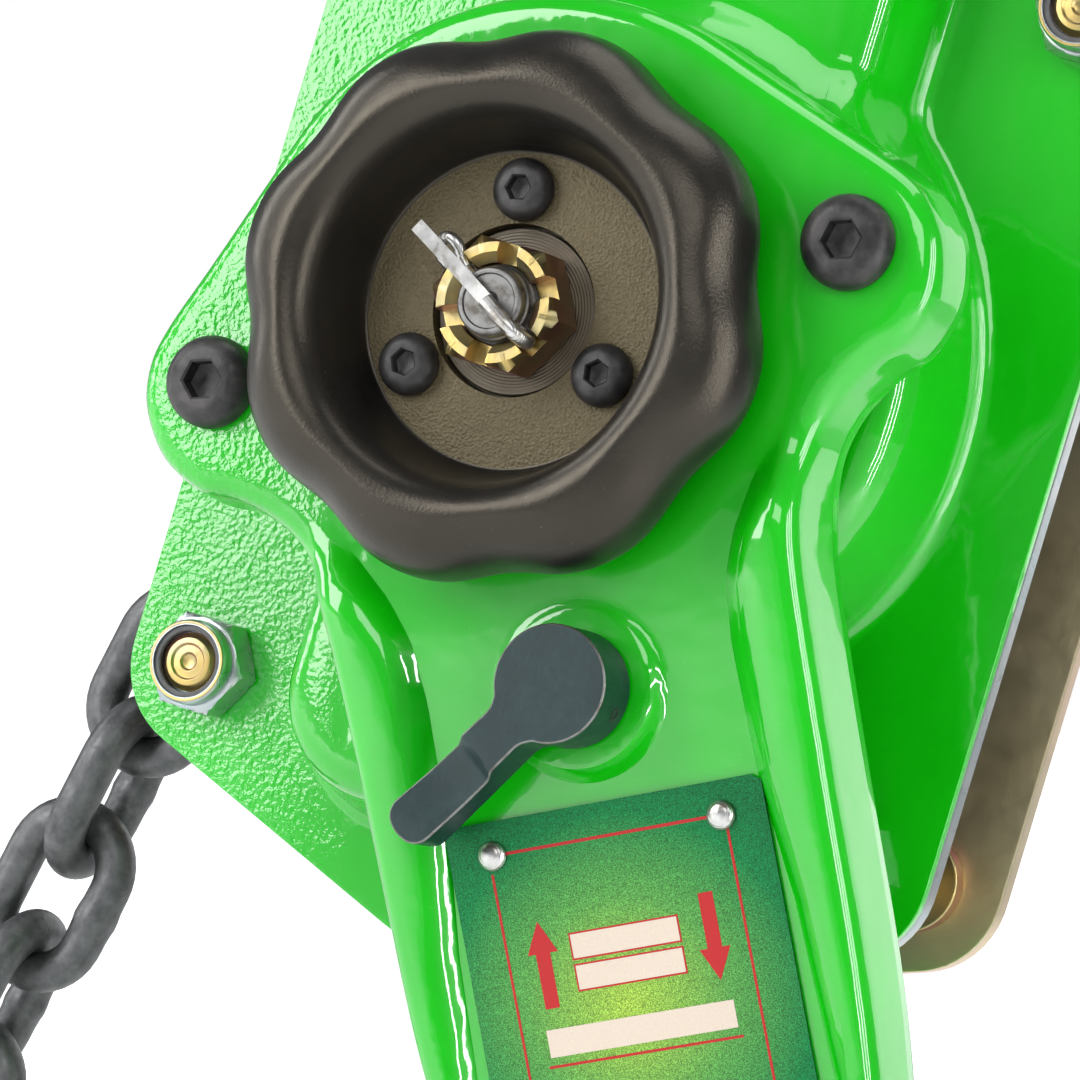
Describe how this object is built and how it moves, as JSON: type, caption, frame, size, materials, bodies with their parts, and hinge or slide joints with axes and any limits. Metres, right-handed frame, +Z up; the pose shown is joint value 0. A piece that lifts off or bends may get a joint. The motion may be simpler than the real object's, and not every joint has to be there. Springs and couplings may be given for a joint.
{
  "type": "lever chain hoist",
  "caption": "Lever chain hoist: green pressed-steel housing between a swivelling top hook and a chain-hung bottom hook, with a ratchet lever and a lobed hand wheel.",
  "frame": {"origin": "on the load sheave's axis, at the flat back of the gear cover", "axes": "+Y along the sheave axis from the hand wheel towards the gear cover, +Z up towards the top hook, +X to the right seen from the hand wheel"},
  "size_m": [0.3468, 0.1998, 0.6455],
  "materials": {
    "green_paint": "glossy enamel",
    "bright_zinc": "blue-white zinc plate",
    "yellow_zinc": "yellow passivated zinc plate",
    "black_satin": "satin black coating",
    "black_oxide": "black oxide",
    "machined_steel": "machined",
    "chain_steel": "dark satin hardened steel",
    "forged_hook": "enamel over forging",
    "grip_rubber": "matte ribbed",
    "friction_lining": "pressed lining",
    "label_plate": "printed plate"
  },
  "bodies": {
    "frame": {"front_side_plate": "bright_zinc", "rear_side_plate": "yellow_zinc", "brake_cover": "green_paint", "gear_cover": "green_paint", "chain_stripper": "machined_steel", "chain_inside": "chain_steel", "stay_bolt_lower_left": "yellow_zinc", "stay_bolt_lower_right": "yellow_zinc", "stay_bolt_upper_left": "yellow_zinc", "stay_bolt_upper_right": "yellow_zinc", "cover_nut_lower_left": "bright_zinc", "cover_nut_lower_right": "bright_zinc", "cover_nut_upper_left": "bright_zinc", "cover_nut_upper_right": "bright_zinc"},
    "drive_shaft": {"drive_shaft": "machined_steel", "castle_nut": "yellow_zinc", "cotter_pin": "machined_steel", "brake_hub": "machined_steel"},
    "hand_wheel": {"hand_wheel": "black_satin", "wheel_hub": "black_satin", "wheel_screw_1": "black_oxide", "wheel_screw_2": "black_oxide", "wheel_screw_3": "black_oxide", "change_gear": "machined_steel"},
    "ratchet": {"ratchet_disc": "machined_steel", "friction_disc_rear": "friction_lining", "friction_disc_front": "friction_lining"},
    "pawl_upper": {"brake_pawl_upper": "machined_steel"},
    "pawl_lower": {"brake_pawl_lower": "machined_steel"},
    "gear_right": {"intermediate_gear_right": "machined_steel"},
    "gear_left": {"intermediate_gear_left": "machined_steel"},
    "sheave": {"load_sheave": "machined_steel", "load_gear": "machined_steel"},
    "lever": {"lever_front_shell": "green_paint", "lever_rear_shell": "green_paint", "lever_screw_left": "black_oxide", "lever_screw_right": "black_oxide", "label_plate": "label_plate", "label_rivet_left": "bright_zinc", "label_rivet_right": "bright_zinc", "lever_grip": "grip_rubber"},
    "selector": {"change_lever": "black_satin", "change_pawl": "machined_steel"},
    "top_yoke": {"top_yoke": "black_oxide"},
    "top_hook": {"top_hook": "forged_hook"},
    "top_latch": {"top_latch": "bright_zinc"},
    "tail_1": {"tail_link_1": "chain_steel"},
    "tail_2": {"tail_link_2": "chain_steel"},
    "tail_3": {"tail_link_3": "chain_steel"},
    "tail_4": {"tail_link_4": "chain_steel"},
    "tail_5": {"tail_link_5": "chain_steel"},
    "tail_ring": {"tail_end_ring": "chain_steel"},
    "load_1": {"load_link_1": "chain_steel"},
    "load_2": {"load_link_2": "chain_steel"},
    "load_3": {"load_link_3": "chain_steel"},
    "load_4": {"load_link_4": "chain_steel"},
    "bottom_yoke": {"bottom_yoke": "black_oxide"},
    "bottom_hook": {"bottom_hook": "forged_hook"},
    "bottom_latch": {"bottom_latch": "bright_zinc"}
  },
  "joints": [
    {"name": "handwheel_spin", "type": "hinge", "parent": "frame", "child": "hand_wheel", "pos_m": [0, -0.172, 0], "axis": [0, 1, 0], "continuous": true},
    {"name": "shaft_spin", "type": "hinge", "parent": "frame", "child": "drive_shaft", "pos_m": [0, -0.072, 0], "axis": [0, 1, 0], "continuous": true},
    {"name": "ratchet_spin", "type": "hinge", "parent": "frame", "child": "ratchet", "pos_m": [0, -0.115, 0], "axis": [0, 1, 0], "continuous": true},
    {"name": "gear_right_spin", "type": "hinge", "parent": "frame", "child": "gear_right", "pos_m": [0.042, -0.032, 0], "axis": [0, 1, 0], "continuous": true},
    {"name": "gear_left_spin", "type": "hinge", "parent": "frame", "child": "gear_left", "pos_m": [-0.042, -0.032, 0], "axis": [0, 1, 0], "continuous": true},
    {"name": "sheave_spin", "type": "hinge", "parent": "frame", "child": "sheave", "pos_m": [0, -0.072, 0], "axis": [0, 1, 0], "continuous": true},
    {"name": "lever_swing", "type": "hinge", "parent": "frame", "child": "lever", "pos_m": [0, -0.162, 0], "axis": [0, 1, 0], "continuous": true},
    {"name": "selector_turn", "type": "hinge", "parent": "lever", "child": "selector", "pos_m": [0.03708, -0.172, -0.07504], "axis": [0, -1, 0], "range_deg": [0, 115.4]},
    {"name": "upper_pawl_lift", "type": "hinge", "parent": "frame", "child": "pawl_upper", "pos_m": [0.024, -0.115, 0.076], "axis": [0, 1, 0], "range_deg": [0, 12]},
    {"name": "lower_pawl_lift", "type": "hinge", "parent": "frame", "child": "pawl_lower", "pos_m": [-0.024, -0.115, -0.076], "axis": [0, 1, 0], "range_deg": [0, 12]},
    {"name": "top_yoke_swing", "type": "hinge", "parent": "frame", "child": "top_yoke", "pos_m": [0, -0.072, 0.118], "axis": [0, 1, 0], "range_deg": [-30, 30]},
    {"name": "top_hook_swivel", "type": "hinge", "parent": "top_yoke", "child": "top_hook", "pos_m": [0, -0.072, 0.14], "axis": [0, 0, 1], "continuous": true},
    {"name": "top_latch_open", "type": "hinge", "parent": "top_hook", "child": "top_latch", "pos_m": [0.0145, -0.072, 0.177], "axis": [0, -1, 0], "range_deg": [0, 40]},
    {"name": "tail_swing_1", "type": "hinge", "parent": "frame", "child": "tail_1", "pos_m": [-0.1067, -0.072, -0.09617], "axis": [0, 1, 0], "range_deg": [-15, 15]},
    {"name": "tail_swing_2", "type": "hinge", "parent": "tail_1", "child": "tail_2", "pos_m": [-0.11262, -0.072, -0.12527], "axis": [0.9799, 0, -0.1994], "range_deg": [-15, 15]},
    {"name": "tail_swing_3", "type": "hinge", "parent": "tail_2", "child": "tail_3", "pos_m": [-0.11854, -0.072, -0.15438], "axis": [0, 1, 0], "range_deg": [-15, 15]},
    {"name": "tail_swing_4", "type": "hinge", "parent": "tail_3", "child": "tail_4", "pos_m": [-0.12446, -0.072, -0.18348], "axis": [0.9799, 0, -0.1994], "range_deg": [-15, 15]},
    {"name": "tail_swing_5", "type": "hinge", "parent": "tail_4", "child": "tail_5", "pos_m": [-0.13038, -0.072, -0.21258], "axis": [0, 1, 0], "range_deg": [-15, 15]},
    {"name": "tail_ring_swing", "type": "hinge", "parent": "tail_5", "child": "tail_ring", "pos_m": [-0.1363, -0.072, -0.24169], "axis": [0.9799, 0, -0.1994], "range_deg": [-15, 15]},
    {"name": "load_swing_1", "type": "hinge", "parent": "frame", "child": "load_1", "pos_m": [0.0392, -0.072, -0.1262], "axis": [1, 0, 0], "range_deg": [-3, 15]},
    {"name": "load_swing_2", "type": "hinge", "parent": "load_1", "child": "load_2", "pos_m": [0.0392, -0.072, -0.1559], "axis": [0, 1, 0], "range_deg": [-15, 15]},
    {"name": "load_swing_3", "type": "hinge", "parent": "load_2", "child": "load_3", "pos_m": [0.0392, -0.072, -0.1856], "axis": [1, 0, 0], "range_deg": [-3, 15]},
    {"name": "load_swing_4", "type": "hinge", "parent": "load_3", "child": "load_4", "pos_m": [0.0392, -0.072, -0.2153], "axis": [0, 1, 0], "range_deg": [-15, 15]},
    {"name": "bottom_yoke_swing", "type": "hinge", "parent": "load_4", "child": "bottom_yoke", "pos_m": [0.0392, -0.072, -0.2337], "axis": [0, 1, 0], "range_deg": [-30, 30]},
    {"name": "bottom_hook_swivel", "type": "hinge", "parent": "bottom_yoke", "child": "bottom_hook", "pos_m": [0.0392, -0.072, -0.2837], "axis": [0, 0, 1], "continuous": true},
    {"name": "bottom_latch_open", "type": "hinge", "parent": "bottom_hook", "child": "bottom_latch", "pos_m": [0.0537, -0.072, -0.3167], "axis": [0, 1, 0], "range_deg": [0, 40]}
  ],
  "couplings": [
    {"joint": "shaft_spin", "follows": "handwheel_spin", "ratio": 1},
    {"joint": "ratchet_spin", "follows": "handwheel_spin", "ratio": 1},
    {"joint": "gear_right_spin", "follows": "handwheel_spin", "ratio": -0.27273},
    {"joint": "gear_left_spin", "follows": "handwheel_spin", "ratio": -0.27273},
    {"joint": "sheave_spin", "follows": "handwheel_spin", "ratio": 0.085227}
  ]
}
